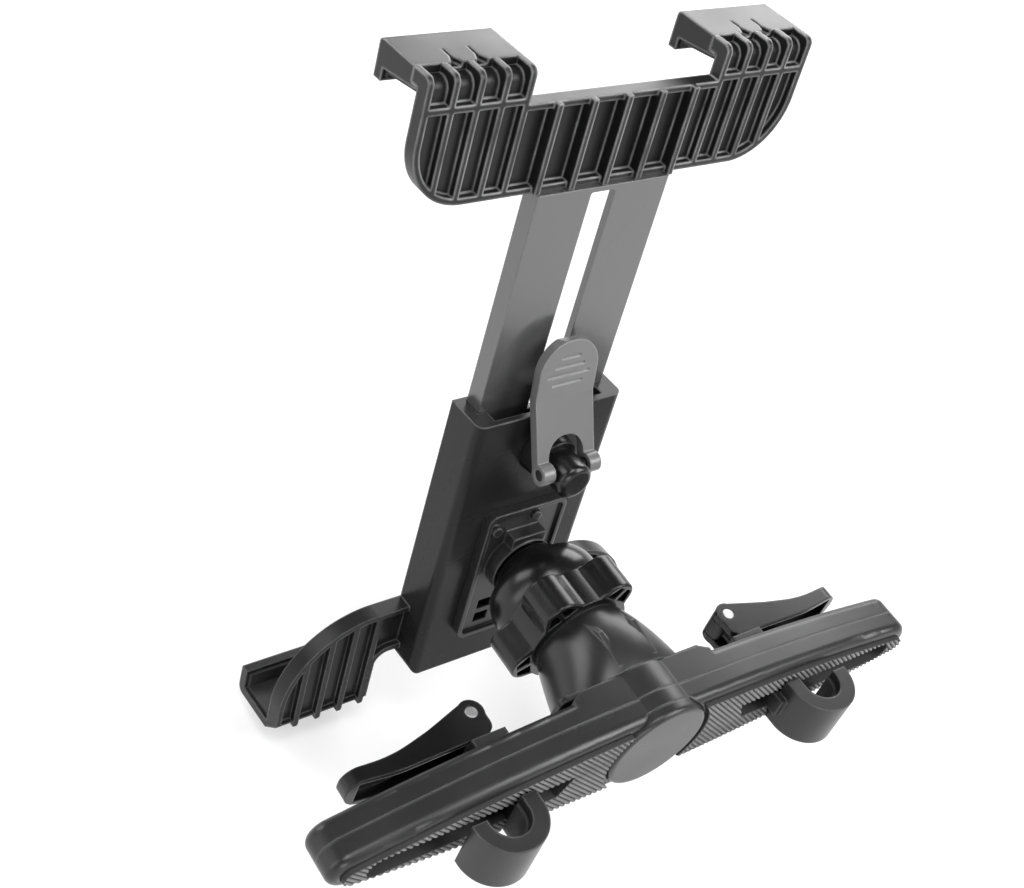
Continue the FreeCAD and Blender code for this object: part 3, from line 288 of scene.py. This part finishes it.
blued_steel = grouped_material("stud_blued_steel", moulded, {
    "Colour": (0.05, 0.05, 0.052, 1), "Wear And Sheen Colour": (0.2, 0.2, 0.205, 1),
    "Roughness": 0.36, "Grain Depth": 0.2}, metallic=1.0)

FINISHES = {
    "shell_plastic": shell_black, "housing_plastic": housing_black,
    "gloss_black": gloss_black, "slide_plastic": slide_grey,
    "lever_plastic": lever_grey, "pad_rubber": pad_grey,
    "liner_rubber": liner_black, "steel": pin_steel,
}

OWN_FINISHES = {
    "hook_stud_left": blued_steel, "hook_stud_right": blued_steel,
    "ribbed_head": head_black, "upper_hook_left": head_black, "upper_hook_right": head_black,
}

for part in frame["record"]["subparts"]:
    mesh = nodes[part["node"]].data
    mesh.materials.clear()
    mesh.materials.append(OWN_FINISHES.get(part["node"], FINISHES[part["material_slot"]]))


# Ribbed pads

# Millimetres; shoulder is how far below its rise the pad meets the arm's round relief
PAD = {"far": 93.0, "rise": 11.0, "shoulder": 0.4, "end": 2.6, "mid": -0.5,
       "relief": 16.2, "back": 3.4,
       "slot_low": -4.0, "slot_high": 3.0, "slot_near": 28.0, "slot_far": 87.0,
       "slant": 3.5, "rib_pitch": 1.7, "rib_depth": 0.5}


def triangle_wave(phase):
    """0 at whole numbers, 1 half way between them, straight in between."""
    return 1.0 - np.abs(2.0 * (phase - np.floor(phase)) - 1.0)


def pad_outer(x):
    """Half the pad's height at x: a circular arc from its rise to its end."""
    reach = PAD["far"] - PAD["end"]
    drop = PAD["rise"] - PAD["end"]
    radius = (reach ** 2 + drop ** 2) / (2 * drop)
    arc = np.sqrt(np.maximum(radius ** 2 - x ** 2, 0)) - (radius - PAD["rise"])
    cap = np.sqrt(np.maximum(PAD["end"] ** 2 - np.maximum(x - reach, 0) ** 2, 0))
    return np.where(x > reach, cap, np.maximum(arc, 0))


def pad_rings(steps):
    """The pad's inner and outer rims as matching rows of points (x, z).

    Both walk the same way round: over the slot, round its far end, back below it
    and up beside the arm, each stretch shared out evenly.
    """
    share = np.linspace(0, 1, steps, endpoint=False)
    few = np.linspace(0, 1, steps // 4, endpoint=False)
    mid, relief = PAD["mid"], PAD["relief"]
    meet = math.sqrt(relief ** 2 - (PAD["rise"] - PAD["shoulder"]) ** 2)
    reach = PAD["far"] - PAD["end"]
    low_near = PAD["slot_near"] + PAD["slant"]
    top_x = meet + (reach - meet) * share
    turn = np.pi / 2 - np.pi * few
    near = np.arctan2(-PAD["rise"], meet) + few * 2 * np.arctan2(PAD["rise"], meet)
    outer = np.concatenate([
        np.stack([top_x, mid + pad_outer(top_x)], 1),
        np.stack([reach + PAD["end"] * np.cos(turn), mid + PAD["end"] * np.sin(turn)], 1),
        np.stack([top_x[::-1], mid - pad_outer(top_x[::-1])], 1),
        np.stack([relief * np.cos(near), mid + relief * np.sin(near)], 1)])
    bend = (PAD["slot_high"] - PAD["slot_low"]) / 2
    end_x = PAD["slot_far"] - bend
    inner = np.concatenate([
        np.stack([PAD["slot_near"] + (end_x - PAD["slot_near"]) * share,
                  np.full(steps, PAD["slot_high"])], 1),
        np.stack([end_x + bend * np.cos(turn), mid + bend * np.sin(turn)], 1),
        np.stack([low_near + (end_x - low_near) * share[::-1],
                  np.full(steps, PAD["slot_low"])], 1),
        np.stack([low_near - PAD["slant"] * few,
                  PAD["slot_low"] + (PAD["slot_high"] - PAD["slot_low"]) * few], 1)])
    return inner, outer


def ribbed_pad(name, sign):
    """A rubber pad with straight ribs that run at 45 degrees across it.

    Depth behind the rear face = rib depth * (triangle wave of (x + z) over the
    pitch) squared; the ribs run out at both rims, which leaves a saw-toothed edge.
    """
    steps, rows = 360, 40
    inner, outer = pad_rings(steps)
    share = np.linspace(0, 1, rows)[:, None, None]
    flat = inner[None] * (1 - share) + outer[None] * share
    x, z = sign * flat[..., 0], flat[..., 1]
    y = PAD["rib_depth"] * triangle_wave((x + z) / PAD["rib_pitch"]) ** 2
    face = np.stack([x, y, z], -1)
    rims = face[[-1, 0]] * (1, 0, 1) + (0, PAD["back"], 0)
    shell = np.concatenate([face, rims])
    quads = ring_faces(*shell.shape[:2], closed=True)
    if sign > 0:
        quads = quads[:, ::-1]
    piece = mesh_piece(name, shell, quads, smooth=False)
    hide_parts(name.replace("ribbed_", ""))
    return finish_piece(piece, "crossbar", pad_grey)


ribbed_pad("ribbed_pad_left", -1)
ribbed_pad("ribbed_pad_right", 1)


# Linings of the post hooks

# Millimetres; near and tip are where the lining ends on the inner and the outer wall
BOWL = {"x": 52.3, "y": -3.5, "near": -0.7, "tip": -2.7, "outer": 5.66, "inner": 4.75,
        "low": -5.6, "high": 4.6, "edge": 0.35}


def hook_lining(side, sign):
    """A rubber strip bent round the inside of a post hook.

    Its path is a straight down one wall, half a circle and a short straight up the
    other; its section is a rectangle with chamfered inner edges, carried along the
    path at right angles to it.
    """
    turn = np.linspace(np.pi, 2 * np.pi, 41)
    angle = np.concatenate([[np.pi], turn, [2 * np.pi]])
    rise = np.concatenate([[BOWL["near"]], np.full(len(turn), BOWL["y"]), [BOWL["tip"]]])
    edge = BOWL["edge"]
    reach = np.array([BOWL["outer"], BOWL["outer"], BOWL["inner"] + edge, BOWL["inner"],
                      BOWL["inner"], BOWL["inner"] + edge])
    level = np.array([BOWL["low"], BOWL["high"], BOWL["high"], BOWL["high"] - edge,
                      BOWL["low"] + edge, BOWL["low"]])
    x = sign * (BOWL["x"] + np.cos(angle)[:, None] * reach)
    y = rise[:, None] + np.sin(angle)[:, None] * reach
    points = np.stack([x, y, np.broadcast_to(level, x.shape)], -1)
    count, around = x.shape
    end = np.array([[5, 2, 1, 0], [5, 4, 3, 2]])
    quads = np.concatenate([ring_faces(count, around, closed=False), end,
                            end[:, ::-1] + (count - 1) * around])
    if sign < 0:
        quads = quads[:, ::-1]
    piece = mesh_piece(f"hook_lining_{side}", points, quads, smooth=False)
    return finish_piece(piece, f"hook_{side}", liner_black)


hook_lining("left", -1)
hook_lining("right", 1)


# Floor, lamps and camera

FLOOR_GAP, FLOOR_HALF = 0.004, 3.0
# The floor's own white close to the object and far from it, and where it turns
GLOW_NEAR, GLOW_FAR = 0.52, 1.0
NEAR, FAR = 0.4, 1.3

def seen_rays(make):
    """Masks of the rays that see a surface straight or through a clear piece, and in a gloss."""
    paths = make.add("ShaderNodeLightPath").outputs
    straight = make.math("MAXIMUM", paths["Is Camera Ray"], paths["Is Transmission Ray"])
    return straight, paths["Is Glossy Ray"]


def floor_material():
    """Pale floor: part its own soft white, part lit, so the object's shadow stays.

    The floor's own white grows with the distance from the object, where the lamps
    fade, so the whole floor looks white.
    """
    material = bpy.data.materials.new("floor_white")
    material.use_nodes = True
    material.node_tree.nodes.clear()
    make = Nodes(material.node_tree)
    lit = make.add("ShaderNodeBsdfDiffuse", {"Color": (0.5, 0.5, 0.5, 1)})
    away = make.add("ShaderNodeVectorMath",
                    {0: make.add("ShaderNodeTexCoord").outputs["Object"]},
                    operation="LENGTH").outputs["Value"]
    glow = make.add("ShaderNodeEmission", {
        "Color": (1, 1, 1, 1), "Strength": make.range(away, NEAR, FAR, GLOW_NEAR, GLOW_FAR)})
    unlit = make.add("ShaderNodeEmission", {"Strength": 0.0})
    shown = make.add("ShaderNodeMixShader", {
        0: make.math("MAXIMUM", *seen_rays(make)), 1: unlit.outputs[0], 2: glow.outputs[0]})
    both = make.add("ShaderNodeAddShader", {0: lit.outputs[0], 1: shown.outputs[0]})
    make.add("ShaderNodeOutputMaterial", {"Surface": both.outputs[0]})
    return material


low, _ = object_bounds()
floor_z = low[2] - FLOOR_GAP
floor_mesh = bpy.data.meshes.new("floor")
floor_mesh.from_pydata([(x * FLOOR_HALF, y * FLOOR_HALF, floor_z)
                        for x, y in ((-1, -1), (1, -1), (1, 1), (-1, 1))], [], [(0, 1, 2, 3)])
floor = bpy.data.objects.new("floor", floor_mesh)
floor_mesh.materials.append(floor_material())
bpy.context.scene.collection.objects.link(floor)

# Ambient light, and the sky that a gloss shows: from which height to which it darkens
AMBIENT = 0.18
SKY_LOW, SKY_HIGH = 0.1, 0.8
SKY_PALE, SKY_DARK = 0.6, 0.05
world = bpy.data.worlds.new("studio")
bpy.context.scene.world = world
world.use_nodes = True
world.node_tree.nodes.clear()
sky = Nodes(world.node_tree)
straight, glossy = seen_rays(sky)
aloft = sky.add("ShaderNodeSeparateXYZ",
                {0: sky.add("ShaderNodeTexCoord").outputs["Generated"]}).outputs["Z"]
mirrored_sky = sky.range(aloft, SKY_LOW, SKY_HIGH, SKY_PALE, SKY_DARK)
lit_sky = sky.math("ADD", sky.math("MULTIPLY", glossy, mirrored_sky),
                   sky.math("MULTIPLY", sky.math("SUBTRACT", 1.0, glossy), AMBIENT))
strength = sky.math("MAXIMUM", straight, lit_sky)
air = sky.add("ShaderNodeBackground", {"Color": (1, 1, 1, 1), "Strength": strength})
sky.add("ShaderNodeOutputWorld", {"Surface": air.outputs[0]})


def softbox(name, place, target, width, height, power):
    """A rectangular lamp at a place in metres, turned to its target."""
    data = bpy.data.lights.new(name, "AREA")
    data.shape = "RECTANGLE"
    data.size = width
    data.size_y = height
    data.energy = power
    lamp = bpy.data.objects.new(name, data)
    direction = Vector(target) - Vector(place)
    lamp.matrix_world = (Matrix.Translation(Vector(place))
                         @ direction.to_track_quat("-Z", "Y").to_matrix().to_4x4())
    bpy.context.scene.collection.objects.link(lamp)
    return lamp


softbox("key_above", (-0.15, -0.1, 0.95), (0, 0.03, 0.02), 0.4, 0.4, 4.0)
softbox("far_low", (0.61, 0.53, 0.4), (0, 0.05, 0.05), 0.65, 0.42, 5.0)
softbox("far_left", (-0.46, 0.67, 0.42), (0, 0.04, 0.03), 0.45, 0.45, 3.0)
softbox("high_right", (0.36, -0.4, 0.72), (0, 0.03, 0.02), 0.32, 0.32, 3.5)
softbox("side_left", (-0.8, 0.1, 0.3), (0, 0.03, 0.02), 0.3, 0.7, 1.8)
softbox("rear_low", (-0.35, -0.85, 0.3), (0, 0, 0.0), 0.5, 0.3, 3.0)
softbox("rear_right", (0.51, -0.54, 0.5), (0, 0.0, 0.0), 0.5, 0.25, 3.5)

right = Vector((0.79217, -0.53542, 0.29291))
down = Vector((-0.21523, -0.69420, -0.68686))
forward = Vector((0.57109, 0.48105, -0.66516))
turned = Matrix((right, -down, -forward)).transposed().to_4x4()
camera_data = bpy.data.cameras.new("camera")
camera_data.sensor_fit = "HORIZONTAL"
camera_data.sensor_width = 36.0
camera_data.lens = 57.62
camera_data.clip_start = 0.01
camera = bpy.data.objects.new("camera", camera_data)
camera.matrix_world = Matrix.Translation((-0.24886, -0.12600, 0.31667)) @ turned
bpy.context.scene.collection.objects.link(camera)
bpy.context.scene.camera = camera
bpy.context.scene.view_settings.view_transform = "Standard"
